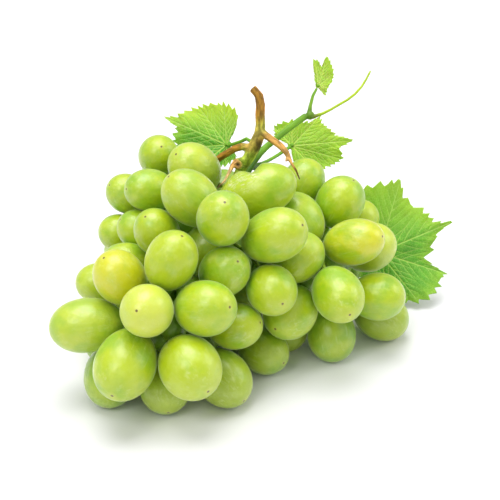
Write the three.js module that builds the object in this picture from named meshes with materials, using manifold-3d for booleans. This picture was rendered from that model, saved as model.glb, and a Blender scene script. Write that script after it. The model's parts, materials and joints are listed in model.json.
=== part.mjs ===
// A bunch of green table grapes lying on a table, picked with the young vine shoot behind it.
// Millimetres, +Z up. It lies on z = 0, and the middle of its footprint is at the origin.
//
// The bunch is laid out on its face, the side that leans back and shows the most berries.
// A place on the face is [across, up, out]: to the right, up the slope and out of it, measured
// from the heart of the bunch. Berries are set down by hand, then settled until none overlap.

import * as THREE from 'three';
import { mergeVertices } from 'three/addons/utils/BufferGeometryUtils.js';
import Module from 'manifold-3d';

// ---- Driving dimensions, in millimetres and degrees ----

const BUNCH_WIDTH = 143; // across the berries
const BERRY_GIRTH = 20; // width of an ordinary berry
const BERRY_LENGTH = 25; // length of an ordinary berry, from stem end to blossom end
const FACE_TILT = 60; // how far the face leans back from facing straight up
const HEART_HEIGHT = 42; // height of the heart of the bunch above the table

const PEDUNCLE_WIDTH = 4.2; // the main stalk that the bunch was cut by
const FORK_WIDTH = 5.4; // the stalk where it divides
const BRANCH_WIDTH = 3.4; // a side branch of the stem
const PEDICEL_WIDTH = 1.8; // the little stalk of one berry
const PEDICEL_BRIM = 3.2; // its swollen end at the berry
const PEDICEL_NECK = 2.5; // straight stretch of the little stalk as it leaves the berry

const SHOOT_WIDTH = 2.5; // the green shoot
const SHOOT_FOOT_WIDTH = 4.6; // its swollen foot
const PETIOLE_WIDTH = 1.3; // leaf stalk
const TENDRIL_WIDTH = 0.9;
const LEAF_THICKNESS = 0.8;
const RIGHT_LEAF_LENGTH = 34; // leaf stalk to the tip of the middle lobe
const LEFT_LEAF_LENGTH = 29;
const BACK_LEAF_LENGTH = 26;
const YOUNG_LEAF_LENGTH = 12.2;

const CLEARANCE = 0.3; // gap between two pieces that touch on the real bunch
const ROOM = CLEARANCE * 1.1; // what is aimed for, so that no gap comes out under the clearance
const RESTING_SINK = 0.35; // how much of a berry is pressed flat where it rests on the table

// ---- Fineness of the surfaces ----

const BERRY_SIDES = 11;
const BERRY_RINGS = 7;
const BRANCH_SIDES = 7;
const PEDICEL_SIDES = 5;
const TUBE_STEP = 4; // length of one step along a branch
const STALK_STEP = 6; // and along the stalk of a berry
const LEAF_SPOKE_ANGLE = 16; // the widest step round a leaf, in degrees
const LEAF_RINGS = 3;

// ---- Settling ----

const SETTLING_ROUNDS = 500;
const HOLD = 0.04; // pull of a berry back to the place it was set down at
const SIDEWAYS_GIVE = 0.3; // how easily a berry slides along the face, against 1 out of it
const HIDDEN_GIVE = 4; // how much more easily a berry of the back or the core slides
const OBSTACLE_STEP = 3; // spacing of the points that stand for a stem as berries settle
const ROUTE_STEP = 3; // spacing of the points of a berry's stalk
const ROUTE_ROUNDS = 40;
const ROUTE_TRIES = 14;

// ---- Colours ----

const SKIN = 0xaecb3a;
const RIPE_SKIN = 0xc9d63a;
const SHADED_SKIN = 0x8fb23c;
const STEM_BARK = 0x9a7536;
const SHOOT_GREEN = 0x5d9c3b;
const LEAF_GREEN = 0x69b33d;
const YOUNG_GREEN = 0x9cc94a;

// ---- Where things are: [across, up, out] on a bunch of this width ----

const LAYOUT_WIDTH = 143;
const SPREAD = BUNCH_WIDTH / LAYOUT_WIDTH;

// Berries. Each row has the place, the heading of the blossom end round the face (0 to the right,
// 90 up) and its rise out of it, then the size against an ordinary berry and the slenderness.
const FACE_BERRIES = [
  // lower left, the big ones at the front
  { place: [-61, -29, 26], heading: 188, rise: 10, size: 1.03, slender: 1.1 },
  { place: [-44, -42, 41], heading: 250, rise: 40, size: 1.13, slender: 1.03 },
  { place: [-24, -42, 39], heading: 311, rise: 35, size: 1.12, slender: 0.93 },
  // middle left
  { place: [-36, -22, 46], heading: 170, rise: 75, size: 0.96, slender: 0.94 },
  { place: [-17, -21, 38], heading: 5, rise: 45, size: 1.03, slender: 1 },
  { place: [-6, -31, 22], heading: 10, rise: 30, size: 0.88, slender: 1.02 },
  { place: [-49, -11, 30], heading: 125, rise: 40, size: 0.96, slender: 1, ripe: true },
  { place: [-59, -12, 5], heading: 180, rise: 20, size: 0.79, slender: 0.96 },
  // middle
  { place: [-29, -4, 40], heading: 64, rise: 37, size: 0.96, slender: 1.04 },
  { place: [-9, -9, 33], heading: 37, rise: 57, size: 0.93, slender: 1.04 },
  { place: [-10, 10, 35], heading: 80, rise: 62, size: 0.98, slender: 0.98 },
  { place: [9, 5, 28], heading: 20, rise: 40, size: 1.02, slender: 1.13 },
  { place: [6, -15, 25], heading: 310, rise: 55, size: 0.94, slender: 0.94 },
  { place: [15, -24, 10], heading: 225, rise: 44, size: 1.02, slender: 0.96 },
  { place: [19, -4, 10], heading: 40, rise: 10, size: 0.94, slender: 0.96 },
  // the top
  { place: [3, 23, 5], heading: 20, rise: 10, size: 1.03, slender: 1.24 },
  { place: [-38, 39, -18], heading: 57, rise: 69, size: 0.83, slender: 0.96 },
  { place: [-22, 33, -5], heading: 144, rise: 47, size: 0.97, slender: 1.04 },
  { place: [-24, 18, 18], heading: 136, rise: 29, size: 1, slender: 1.04 },
  // the left shoulder, smaller berries
  { place: [-50, 23, -12], heading: 155, rise: 37, size: 0.8, slender: 0.95 },
  { place: [-40, 23, 2], heading: 179, rise: 35, size: 0.84, slender: 1.02 },
  { place: [-52, 7, -6], heading: 170, rise: 20, size: 0.75, slender: 0.92 },
  { place: [-45, 8, -1], heading: 150, rise: 30, size: 0.76, slender: 0.96 },
  { place: [-35, 8, 14], heading: 124, rise: 50, size: 0.86, slender: 1.04 },
  { place: [-49, -5, 5], heading: 180, rise: 10, size: 0.75, slender: 1.08 },
  // the right shoulder
  { place: [19, 13, 0], heading: 120, rise: 10, size: 1.02, slender: 0.96 },
  { place: [22, 28, -20], heading: 60, rise: 10, size: 0.87, slender: 0.96 },
  { place: [36, 19, -10], heading: 60, rise: 30, size: 0.98, slender: 0.94 },
  { place: [41, 3, 5], heading: 12, rise: 35, size: 0.91, slender: 1.16, ripe: true },
  { place: [49, 1, -14], heading: 24, rise: 10, size: 0.99, slender: 0.92 },
  { place: [46, 12, -28], heading: 60, rise: 10, size: 0.82, slender: 0.92 },
  // lower right
  { place: [33, -17, 16], heading: 297, rise: 50, size: 0.97, slender: 1.08 },
  { place: [51, -19, -3], heading: 0, rise: 20, size: 0.95, slender: 0.96 },
];

const RESTING_BERRIES = [
  // along the front, resting on the table
  { place: [-53.5, -48, 20], heading: 260, rise: 20, size: 1.02, slender: 1 },
  { place: [-32, -53, 22], heading: 280, rise: 30, size: 0.98, slender: 0.96 },
  { place: [-10, -47.5, 19.5], heading: 315, rise: 25, size: 1.03, slender: 1 },
  { place: [6, -39, 3], heading: 330, rise: 35, size: 0.91, slender: 1 },
  { place: [15, -31, -12], heading: 270, rise: 20, size: 0.9, slender: 0.96 },
  { place: [33, -34, -5], heading: 275, rise: 10, size: 0.97, slender: 0.94 },
  { place: [54, -28, -17], heading: 335, rise: 10, size: 0.98, slender: 0.96 },
];

const HIDDEN_RESTING_BERRIES = [
  // round the left end and the back, resting on the table
  { place: [-54, -36, 0], heading: 200, rise: 0, size: 0.96, slender: 1 },
  { place: [-54, -26, -19], heading: 190, rise: -20, size: 0.94, slender: 1 },
  { place: [-40, -16, -36], heading: 160, rise: -40, size: 0.98, slender: 1 },
  { place: [-18, -12, -43], heading: 110, rise: -60, size: 1, slender: 1 },
  { place: [4, -12, -44], heading: 80, rise: -60, size: 0.97, slender: 1 },
  { place: [26, -15, -39], heading: 40, rise: -55, size: 0.95, slender: 1 },
];

const HIDDEN_BERRIES = [
  // the core, glimpsed between the face berries
  { place: [-3, -20, 5], heading: 0, rise: 30, size: 0.91, slender: 1 },
  { place: [-18, 2, 12], heading: 60, rise: 30, size: 0.9, slender: 1 },
  // the back
  { place: [-51, 0, -22], heading: 170, rise: -30, size: 0.9, slender: 1 },
  { place: [-30, 7, -36], heading: 120, rise: -50, size: 0.96, slender: 1 },
  { place: [-8, 9, -40], heading: 95, rise: -55, size: 1, slender: 1 },
  { place: [15, 9, -39], heading: 80, rise: -55, size: 0.96, slender: 1 },
  { place: [-33, 21, -24], heading: 110, rise: -30, size: 0.92, slender: 1 },
  { place: [-11, 24, -27], heading: 95, rise: -40, size: 0.96, slender: 1 },
];

// The woody stem. Each branch has its points from the thick end to the thin one, and its width at
// equal steps along them.
const STEM_BRANCHES = {
  peduncle: {
    points: [
      [1, 64, 6], [3, 62, 6], [4, 59, 5], [4, 53, 4], [4, 47, 3], [2, 42, 1], [0, 38, -2],
      [-3, 34, -6], [-5, 30, -11],
    ],
    widths: [3.4, 3.9, PEDUNCLE_WIDTH, PEDUNCLE_WIDTH, FORK_WIDTH, FORK_WIDTH, 5, 4.8, 4.4],
  },
  rachis: {
    points: [
      [-5, 30, -11], [-8, 20, -15], [-11, 8, -15], [-17, -3, -12], [-24, -14, -2], [-32, -25, 7],
      [-38, -30, 14],
    ],
    widths: [4.4, 4, 3.6, 3.2, 2.8, 2.4, 2],
  },
  left: {
    points: [
      [0, 41, 0], [-4, 41.5, -3], [-9, 39.5, -8], [-15, 36, -14], [-24, 29, -21], [-33, 20, -17],
      [-39, 12, -12],
    ],
    widths: [BRANCH_WIDTH, 3.1, 3.1, 2.9, 2.6, 2.2, 2],
  },
  right: {
    points: [
      [3, 48, 3], [7.5, 44.5, 5], [11.5, 41.5, 7], [14.5, 38, 9], [16, 34.5, 10], [17.5, 32, 11],
      [19, 29.5, 11], [19.5, 27.5, 11],
    ],
    widths: [3.8, 3.3, 3, 3, 2.5, 1.5, 1.1, 0.9],
  },
  torn: {
    points: [[-3, 36, -2], [-6, 35, 2], [-8, 31, 7], [-10, 27, 10], [-13, 24, 11]],
    widths: [3, 2.6, 1.8, 1.2, 0.8],
  },
  knot: { points: [[-3, 34, -6], [-4, 34, -2], [-5, 33, 0]], widths: [4, 3.4, 2.4] },
  stub: { points: [[15, 37.5, 9], [14.5, 36, 10], [14, 34.5, 11]], widths: [2, 1.4, 0.9] },
  rightCore: {
    points: [[-9, 15, -15], [2, 8, -16], [14, 2, -18], [27, -3, -17], [37, -8, -15]],
    widths: [3, 2.6, 2.4, 2.2, 2],
  },
  lowerRight: {
    points: [[-15, 0, -13], [-6, -9, -10], [5, -15, -9], [14, -18, -12]],
    widths: [2.8, 2.4, 2.2, 2],
  },
  leftCore: {
    points: [[-10, 11, -15], [-20, 6, -14], [-31, 0, -10], [-41, -8, -6]],
    widths: [2.8, 2.4, 2.2, 2],
  },
};

// The green shoot behind the stem, with the stalks of its leaves and its tendril.
const SHOOT_BRANCHES = {
  cane: {
    points: [
      [-3, 31, -13], [0.5, 36, -16], [3.5, 39.5, -17], [6.5, 42.5, -18], [9.5, 45, -18],
      [15.5, 50, -19], [21.5, 54.5, -20], [24.5, 56.2, -20], [27, 55.5, -20],
    ],
    widths: [
      SHOOT_FOOT_WIDTH, SHOOT_FOOT_WIDTH, 3.2, SHOOT_WIDTH, SHOOT_WIDTH, SHOOT_WIDTH,
      SHOOT_WIDTH, 2.8, 1.6,
    ],
  },
  tendril: {
    points: [
      [26.5, 55.5, -20], [31, 57, -19], [37, 60.3, -18], [42.2, 63.5, -18], [46.5, 68, -18],
      [50, 74.3, -19],
    ],
    widths: [1.4, TENDRIL_WIDTH, TENDRIL_WIDTH, TENDRIL_WIDTH, 0.8, 0.7],
  },
  youngPetiole: {
    points: [[24.5, 56, -20], [25.3, 61, -20], [26.3, 64.5, -20], [28.2, 68, -20]],
    widths: [2.2, PETIOLE_WIDTH, 1.1, 0.9],
  },
  backPetiole: {
    points: [[1, 35, -16], [3.5, 35.5, -20], [7.5, 37.5, -26], [12, 40.5, -32], [17.5, 44.5, -37]],
    widths: [2, PETIOLE_WIDTH, PETIOLE_WIDTH, PETIOLE_WIDTH, PETIOLE_WIDTH],
  },
  leftPetiole: {
    points: [[2.5, 38, -17], [2, 43, -19], [-1, 46.5, -23], [-4.5, 45.5, -28], [-9.5, 44.5, -33]],
    widths: [2, PETIOLE_WIDTH, PETIOLE_WIDTH, PETIOLE_WIDTH, PETIOLE_WIDTH],
  },
  rightPetiole: {
    points: [[0, 35, -15], [4, 33, -24], [13, 28, -36], [27, 18, -46], [42, 6, -48], [55, 0, -41]],
    widths: [2, 1.6, 1.5, 1.5, 1.5, 1.5],
  },
};

// Leaves. The place is where the stalk joins, heading is the way of the middle lobe round the
// face, and lean tips the blade back and sideways. The rim is given as [angle, reach]: round from
// the middle lobe, and out from the stalk as a share of the leaf's length. Between two of them the
// rim runs straight.
const LEAVES = {
  leaf_right: {
    place: [56, -1, -41],
    heading: 23,
    lean: [0, 0],
    length: RIGHT_LEAF_LENGTH,
    colour: LEAF_GREEN,
    rim: [
      [-180, 0.08], [-170, 0.25], [-145, 0.45], [-115, 0.6], [-86, 0.7], [-71, 0.86], [-47, 0.9], [-38, 0.88],
      [-34, 0.62], [-22, 0.65], [-8, 0.73], [0, 1], [7, 0.84], [23, 0.78], [34, 0.72], [47, 0.78],
      [52, 0.95], [65, 0.9], [78, 0.88], [95, 0.75], [120, 0.58], [150, 0.4], [172, 0.2],
    ],
    cup: 1.5,
    ripple: 1.2,
    waves: 5,
  },
  leaf_left: {
    place: [-10, 45, -33],
    heading: 156,
    lean: [0, 0],
    length: LEFT_LEAF_LENGTH,
    colour: LEAF_GREEN,
    rim: [
      [-150, 0.07], [-102, 0.07], [-91, 0.36], [-86, 0.5], [-77, 0.57], [-51, 0.64], [-31, 0.7],
      [-14, 0.81], [-6, 0.85], [0, 1], [3, 0.82], [8, 0.76], [13, 0.81], [26, 0.74], [45, 0.72], [65, 0.6], [85, 0.45],
      [103, 0.33], [125, 0.27], [152, 0.24], [168, 0.07],
    ],
    cup: -1.5,
    ripple: 1,
    waves: 5,
  },
  leaf_back: {
    place: [18, 45, -37],
    heading: 4,
    lean: [0, 0],
    length: BACK_LEAF_LENGTH,
    colour: YOUNG_GREEN,
    rim: [
      [-96, 0.07], [-86, 0.28], [-62, 0.5], [-40, 0.66], [-19, 0.88], [-7, 0.78], [0, 1], [8, 0.74],
      [21, 0.64], [35, 0.56], [41, 0.65], [62, 0.42], [95, 0.4], [130, 0.42], [148, 0.3], [158, 0.07],
    ],
    cup: 1.5,
    ripple: 0.8,
    waves: 5,
  },
  leaf_young: {
    place: [28.5, 68.5, -20],
    heading: 74,
    lean: [0, 0],
    length: YOUNG_LEAF_LENGTH,
    colour: YOUNG_GREEN,
    rim: [
      [-150, 0.1], [-138, 0.2], [-131, 0.41], [-105, 0.33], [-74, 0.34], [-54, 0.5], [-25, 0.74], [-10, 0.88],
      [0, 1], [7, 0.62], [16, 0.8], [28, 0.9], [36, 0.4], [60, 0.1],
    ],
    cup: 1,
    ripple: 0.8,
    waves: 4,
  },
};

// ---- Solids ----

const wasm = await Module();
wasm.setup();

// A three.js geometry with only its places left and its shared corners merged.
function closed(geometry) {
  geometry.deleteAttribute('normal');
  geometry.deleteAttribute('uv');
  return mergeVertices(geometry, 1e-4);
}

function solidOf(geometry) {
  return new wasm.Manifold(new wasm.Mesh({
    numProp: 3,
    vertProperties: new Float32Array(geometry.getAttribute('position').array),
    triVerts: new Uint32Array(geometry.index.array),
  }));
}

function geometryOf(solid) {
  const mesh = solid.getMesh();
  const geometry = new THREE.BufferGeometry();
  geometry.setAttribute('position', new THREE.BufferAttribute(new Float32Array(mesh.vertProperties), 3));
  geometry.setIndex(new THREE.BufferAttribute(new Uint32Array(mesh.triVerts), 1));
  geometry.computeVertexNormals();
  return geometry;
}

function material(colour, roughness) {
  return new THREE.MeshStandardMaterial({ color: colour, roughness, metalness: 0 });
}

function place([across, up, out]) {
  return new THREE.Vector3(across, up, out).multiplyScalar(SPREAD);
}

const DEGREE = Math.PI / 180;

// The face leans back about the across direction, and its heart is above the table.
const face = new THREE.Group();
face.rotation.x = FACE_TILT * DEGREE;
face.position.z = HEART_HEIGHT * SPREAD;
face.updateMatrixWorld();
const towardSky = new THREE.Vector3(0, 0, 1).transformDirection(face.matrixWorld.clone().invert());

function heightOf(point) {
  return towardSky.dot(point) + face.position.z;
}

// ---- Berries ----

function makeBerry({ place: spot, heading, rise, size, slender, ripe = false }, rests, hidden) {
  const level = Math.cos(rise * DEGREE);
  const axis = new THREE.Vector3(
    level * Math.cos(heading * DEGREE),
    level * Math.sin(heading * DEGREE),
    Math.sin(rise * DEGREE),
  );
  return {
    centre: place(spot),
    home: place(spot),
    axis,
    girth: (size * BERRY_GIRTH) / 2,
    reach: (size * slender * BERRY_LENGTH) / 2,
    rests,
    ripe,
    hidden,
    give: hidden ? HIDDEN_GIVE : 1,
  };
}

// A ball that stands for a short stretch of stem or leaf.
function makeBall(centre, radius) {
  return { centre, axis: new THREE.Vector3(0, 1, 0), girth: radius, reach: radius };
}

// The farthest point of a berry from its own centre in the direction n.
function farthest(berry, n, out) {
  const along = n.dot(berry.axis);
  const girth2 = berry.girth ** 2;
  const extra = berry.reach ** 2 - girth2;
  const size = Math.sqrt(girth2 + extra * along * along);
  return out.copy(n).multiplyScalar(girth2 / size).addScaledVector(berry.axis, (extra * along) / size);
}

const between = new THREE.Vector3();
const nearA = new THREE.Vector3();
const nearB = new THREE.Vector3();
const slope = new THREE.Vector3();

// The gap between two ovals, negative where they overlap, and in n the way from a to b across it.
function separation(a, b, n) {
  between.subVectors(b.centre, a.centre);
  const apart = Math.max(between.length(), 1e-6);
  n.copy(between).divideScalar(apart);
  let gap = 0;
  for (let step = 0; step < 9; step += 1) {
    farthest(a, n, nearA);
    farthest(b, n, nearB);
    slope.copy(between).sub(nearA).sub(nearB);
    gap = slope.dot(n);
    slope.addScaledVector(n, -gap);
    n.addScaledVector(slope, 1 / apart).normalize();
  }
  return gap;
}

// Two berries farther apart than this can't touch.
function couldTouch(a, b, margin) {
  return a.centre.distanceToSquared(b.centre) < (a.reach + b.reach + margin) ** 2;
}

const way = new THREE.Vector3();

function push(berry, direction, amount) {
  berry.centre.x += direction.x * amount * SIDEWAYS_GIVE * berry.give;
  berry.centre.y += direction.y * amount * SIDEWAYS_GIVE * berry.give;
  berry.centre.z += direction.z * amount * berry.give;
}

function yieldOf(berry, direction) {
  const sideways = direction.x ** 2 + direction.y ** 2;
  return berry.give * (SIDEWAYS_GIVE * sideways + direction.z ** 2);
}

// Moves the berries apart, off the stems and onto the table, with as little motion as it takes.
function settle(berries, obstacles) {
  for (let round = 0; round < SETTLING_ROUNDS; round += 1) {
    const hold = HOLD * Math.max(0, 1 - (1.5 * round) / SETTLING_ROUNDS);
    berries.forEach((berry) => berry.centre.lerp(berry.home, hold));
    for (let i = 0; i < berries.length; i += 1) {
      const berry = berries[i];
      for (let j = i + 1; j < berries.length; j += 1) {
        const other = berries[j];
        if (couldTouch(berry, other, ROOM)) {
          const lack = ROOM - separation(berry, other, way);
          if (lack > 0) {
            const amount = lack / (yieldOf(berry, way) + yieldOf(other, way));
            push(berry, way, -amount);
            push(other, way, amount);
          }
        }
      }
      obstacles.forEach((ball) => {
        if (couldTouch(berry, ball, ROOM)) {
          const lack = ROOM - separation(berry, ball, way);
          if (lack > 0) push(berry, way, -lack / yieldOf(berry, way));
        }
      });
      farthest(berry, towardSky, nearA);
      const lowest = heightOf(berry.centre) - nearA.dot(towardSky);
      const lack = (berry.rests ? -RESTING_SINK : CLEARANCE) - lowest;
      if (lack > 0 || berry.rests) push(berry, towardSky, lack / yieldOf(berry, towardSky));
    }
  }
}

// An oval of revolution with its axis along Y, grown by a margin all over.
function berryGeometry(berry, margin = 0) {
  const profile = [];
  for (let ring = 0; ring <= BERRY_RINGS; ring += 1) {
    const angle = (Math.PI * ring) / BERRY_RINGS;
    const out = ring % BERRY_RINGS === 0 ? 0 : (berry.girth + margin) * Math.sin(angle);
    profile.push(new THREE.Vector2(out, -(berry.reach + margin) * Math.cos(angle)));
  }
  return closed(new THREE.LatheGeometry(profile, BERRY_SIDES));
}

function berryMesh(berry, index) {
  let colour = berry.ripe ? RIPE_SKIN : SKIN;
  if (berry.hidden || berry.rests) colour = SHADED_SKIN;
  const mesh = new THREE.Mesh(undefined, material(colour, 0.45));
  mesh.name = `berry_${String(index + 1).padStart(2, '0')}`;
  mesh.position.copy(berry.centre);
  mesh.quaternion.setFromUnitVectors(new THREE.Vector3(0, 1, 0), berry.axis);
  mesh.updateMatrix();
  mesh.geometry = berryGeometry(berry);
  if (berry.rests) {
    const toBerry = mesh.matrix.clone().invert().multiply(face.matrixWorld.clone().invert());
    const table = new THREE.BoxGeometry(4 * BERRY_LENGTH, 4 * BERRY_LENGTH, BERRY_LENGTH);
    const under = berry.centre.clone().applyMatrix4(face.matrixWorld);
    table.translate(under.x, under.y, -BERRY_LENGTH / 2);
    table.applyMatrix4(toBerry);
    mesh.geometry = geometryOf(solidOf(mesh.geometry).subtract(solidOf(closed(table))));
  }
  return mesh;
}

// ---- Stems ----

function curveOf(branch) {
  return new THREE.CatmullRomCurve3(branch.points.map(place), false, 'centripetal');
}

// The width a fraction of the way along a list of widths at equal steps.
function widthAt(widths, fraction) {
  const spot = fraction * (widths.length - 1);
  const before = Math.min(Math.floor(spot), widths.length - 2);
  return THREE.MathUtils.lerp(widths[before], widths[before + 1], spot - before);
}

// A round bar of changing width, turned as a straight one and then bent along the curve.
function bar(curve, widths, sides, step, margin = 0) {
  const steps = Math.max(2, Math.round(curve.getLength() / step));
  const profile = [new THREE.Vector2(0, 0)];
  for (let i = 0; i <= steps; i += 1) {
    profile.push(new THREE.Vector2(widthAt(widths, i / steps) / 2 + margin, i));
  }
  profile.push(new THREE.Vector2(0, steps));
  const geometry = closed(new THREE.LatheGeometry(profile, sides));
  const frames = curve.computeFrenetFrames(steps);
  const position = geometry.getAttribute('position');
  const point = new THREE.Vector3();
  for (let i = 0; i < position.count; i += 1) {
    const along = Math.round(position.getY(i));
    curve.getPointAt(along / steps, point);
    point.addScaledVector(frames.binormals[along], position.getX(i));
    point.addScaledVector(frames.normals[along], position.getZ(i));
    position.setXYZ(i, point.x, point.y, point.z);
  }
  return geometry;
}

function ballsAlong(branches) {
  return Object.values(branches).flatMap((branch) => {
    const curve = curveOf(branch);
    const count = Math.ceil(curve.getLength() / OBSTACLE_STEP);
    return curve.getSpacedPoints(count).map((point, index) => (
      makeBall(point, widthAt(branch.widths, index / count) / 2)
    ));
  });
}

function joined(branches, sides, margin = 0) {
  return Object.values(branches)
    .map((branch) => solidOf(bar(curveOf(branch), branch.widths, sides, TUBE_STEP, margin)))
    .reduce((all, one) => all.add(one));
}

// The way of a berry's stalk from its stem end to a branch, bent round the berries between.
function stalkRoute(berry, goal, berries) {
  const tail = berry.axis.clone().negate();
  const start = berry.centre.clone().addScaledVector(tail, berry.reach + ROOM);
  const neck = start.clone().addScaledVector(tail, PEDICEL_NECK);
  const count = Math.max(3, Math.ceil(neck.distanceTo(goal) / ROUTE_STEP));
  const points = [];
  for (let i = 0; i <= count; i += 1) points.push(neck.clone().lerp(goal, i / count));
  const ball = makeBall(new THREE.Vector3(), PEDICEL_WIDTH / 2 + CLEARANCE);
  let blocked = 0;
  for (let round = 0; round < ROUTE_ROUNDS; round += 1) {
    blocked = 0;
    for (let i = 0; i < count; i += 1) {
      const before = i === 0 ? start : points[i - 1];
      points[i].lerp(before.clone().add(points[i + 1]).multiplyScalar(0.5), 0.4);
      ball.centre.copy(points[i]);
      berries.forEach((other) => {
        if (couldTouch(ball, other, 0)) {
          const gap = separation(ball, other, way);
          if (gap < 0) {
            ball.centre.addScaledVector(way, gap);
            blocked = Math.max(blocked, -gap);
          }
        }
      });
      points[i].copy(ball.centre);
    }
  }
  let length = start.distanceTo(points[0]);
  for (let i = 0; i < count; i += 1) length += points[i].distanceTo(points[i + 1]);
  return { points: [start, ...points], cost: length + 40 * blocked };
}

// The best stalk of a berry, of the ones to the nearest points of the stem.
function stalkOf(berry, berries, anchors) {
  const end = berry.centre.clone().addScaledVector(berry.axis, -berry.reach - PEDICEL_NECK);
  const nearest = anchors
    .map((goal) => ({ goal, distance: goal.distanceTo(end) }))
    .sort((a, b) => a.distance - b.distance)
    .slice(0, ROUTE_TRIES);
  const routes = nearest.map(({ goal }) => stalkRoute(berry, goal, berries));
  return routes.reduce((best, route) => (route.cost < best.cost ? route : best));
}

function stemSolid(berries) {
  const bearing = ['rachis', 'left', 'rightCore', 'lowerRight', 'leftCore'];
  const anchors = bearing.flatMap((name) => {
    const curve = curveOf(STEM_BRANCHES[name]);
    return curve.getSpacedPoints(Math.ceil(curve.getLength() / OBSTACLE_STEP)).slice(1);
  });
  const widths = [PEDICEL_BRIM, PEDICEL_WIDTH, PEDICEL_WIDTH, PEDICEL_WIDTH, PEDICEL_WIDTH];
  let stem = joined(STEM_BRANCHES, BRANCH_SIDES);
  const nearness = (berry) => Math.min(...anchors.map((goal) => goal.distanceTo(berry.centre)));
  const inwardFirst = berries
    .map((berry) => ({ berry, distance: nearness(berry) }))
    .sort((a, b) => a.distance - b.distance);
  inwardFirst.forEach(({ berry }) => {
    const { points } = stalkOf(berry, berries, anchors);
    const curve = new THREE.CatmullRomCurve3(points, false, 'centripetal');
    stem = stem.add(solidOf(bar(curve, widths, PEDICEL_SIDES, STALK_STEP)));
    anchors.push(...points.slice(2, -1));
  });
  berries.forEach((berry) => {
    const grown = berryGeometry(berry, CLEARANCE);
    grown.applyQuaternion(new THREE.Quaternion().setFromUnitVectors(new THREE.Vector3(0, 1, 0), berry.axis));
    grown.translate(...berry.centre);
    stem = stem.subtract(solidOf(grown));
  });
  return stem;
}

// ---- Leaves ----

// The rim with more points where two of them are far apart round the stalk.
function fineRim(rim) {
  return rim.flatMap(([angle, reach], index) => {
    const next = rim[(index + 1) % rim.length];
    const turn = (next[0] - angle + 360) % 360;
    const count = Math.ceil(turn / LEAF_SPOKE_ANGLE);
    return Array.from({ length: count }, (_, i) => [
      angle + (turn * i) / count,
      THREE.MathUtils.lerp(reach, next[1], i / count),
    ]);
  });
}

// A thin blade: rings of points round the stalk's end, on both faces, closed at the rim.
function bladeGeometry(leaf, margin = 0) {
  const points = [];
  const triangles = [];
  const rim = fineRim(leaf.rim);
  const half = LEAF_THICKNESS / 2 + margin;
  [half, -half].forEach((lift) => {
    points.push(0, 0, lift);
    for (let ring = 1; ring <= LEAF_RINGS; ring += 1) {
      rim.forEach(([turn, share]) => {
        const reach = ((share * leaf.length + margin) * ring) / LEAF_RINGS;
        const angle = turn * DEGREE;
        const out = reach / leaf.length;
        const height = leaf.cup * out ** 2 + leaf.ripple * out * Math.cos(leaf.waves * angle);
        points.push(reach * Math.cos(angle), reach * Math.sin(angle), height + lift);
      });
    }
  });
  const spokes = rim.length;
  const perFace = 1 + LEAF_RINGS * spokes;
  const at = (side, ring, spoke) => side * perFace + 1 + (ring - 1) * spokes + (spoke % spokes);
  const add = (side, a, b, c) => triangles.push(...(side === 0 ? [a, b, c] : [a, c, b]));
  for (let spoke = 0; spoke < spokes; spoke += 1) {
    [0, 1].forEach((side) => {
      add(side, side * perFace, at(side, 1, spoke), at(side, 1, spoke + 1));
      for (let ring = 1; ring < LEAF_RINGS; ring += 1) {
        add(side, at(side, ring, spoke), at(side, ring + 1, spoke), at(side, ring + 1, spoke + 1));
        add(side, at(side, ring, spoke), at(side, ring + 1, spoke + 1), at(side, ring, spoke + 1));
      }
    });
    const rimTop = [at(0, LEAF_RINGS, spoke), at(0, LEAF_RINGS, spoke + 1)];
    const rimBottom = [at(1, LEAF_RINGS, spoke), at(1, LEAF_RINGS, spoke + 1)];
    triangles.push(rimTop[0], rimBottom[0], rimBottom[1], rimTop[0], rimBottom[1], rimTop[1]);
  }
  const geometry = new THREE.BufferGeometry();
  geometry.setAttribute('position', new THREE.Float32BufferAttribute(points, 3));
  geometry.setIndex(triangles);
  geometry.computeVertexNormals();
  return geometry;
}

function leafMesh(name) {
  const leaf = LEAVES[name];
  const mesh = new THREE.Mesh(bladeGeometry(leaf), material(leaf.colour, 0.6));
  mesh.name = name;
  mesh.position.copy(place(leaf.place));
  mesh.rotation.set(leaf.lean[0] * DEGREE, leaf.lean[1] * DEGREE, leaf.heading * DEGREE);
  mesh.updateMatrix();
  return mesh;
}

// ---- The bunch ----

const leaves = Object.keys(LEAVES).map(leafMesh);

function bladeBalls(mesh) {
  const position = mesh.geometry.getAttribute('position');
  const balls = [];
  for (let i = 0; i < position.count / 2; i += 2) {
    const point = new THREE.Vector3().fromBufferAttribute(position, i).applyMatrix4(mesh.matrix);
    balls.push(makeBall(point, LEAF_THICKNESS));
  }
  return balls;
}

const berries = [
  ...FACE_BERRIES.map((row) => makeBerry(row, false, false)),
  ...RESTING_BERRIES.map((row) => makeBerry(row, true, false)),
  ...HIDDEN_RESTING_BERRIES.map((row) => makeBerry(row, true, true)),
  ...HIDDEN_BERRIES.map((row) => makeBerry(row, false, true)),
];
settle(berries, [
  ...ballsAlong(STEM_BRANCHES),
  ...ballsAlong(SHOOT_BRANCHES),
  ...leaves.flatMap(bladeBalls),
]);

berries.forEach((berry, index) => face.add(berryMesh(berry, index)));

const stem = new THREE.Mesh(geometryOf(stemSolid(berries)), material(STEM_BARK, 0.8));
stem.name = 'stem';
face.add(stem);

let shootSolid = joined(SHOOT_BRANCHES, BRANCH_SIDES);
shootSolid = shootSolid.subtract(joined(STEM_BRANCHES, BRANCH_SIDES, CLEARANCE));
leaves.forEach((mesh) => {
  const grown = bladeGeometry(LEAVES[mesh.name], CLEARANCE).applyMatrix4(mesh.matrix);
  shootSolid = shootSolid.subtract(solidOf(grown));
});
const shoot = new THREE.Mesh(geometryOf(shootSolid), material(SHOOT_GREEN, 0.5));
shoot.name = 'shoot';
face.add(shoot);

leaves.forEach((mesh) => face.add(mesh));

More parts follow.
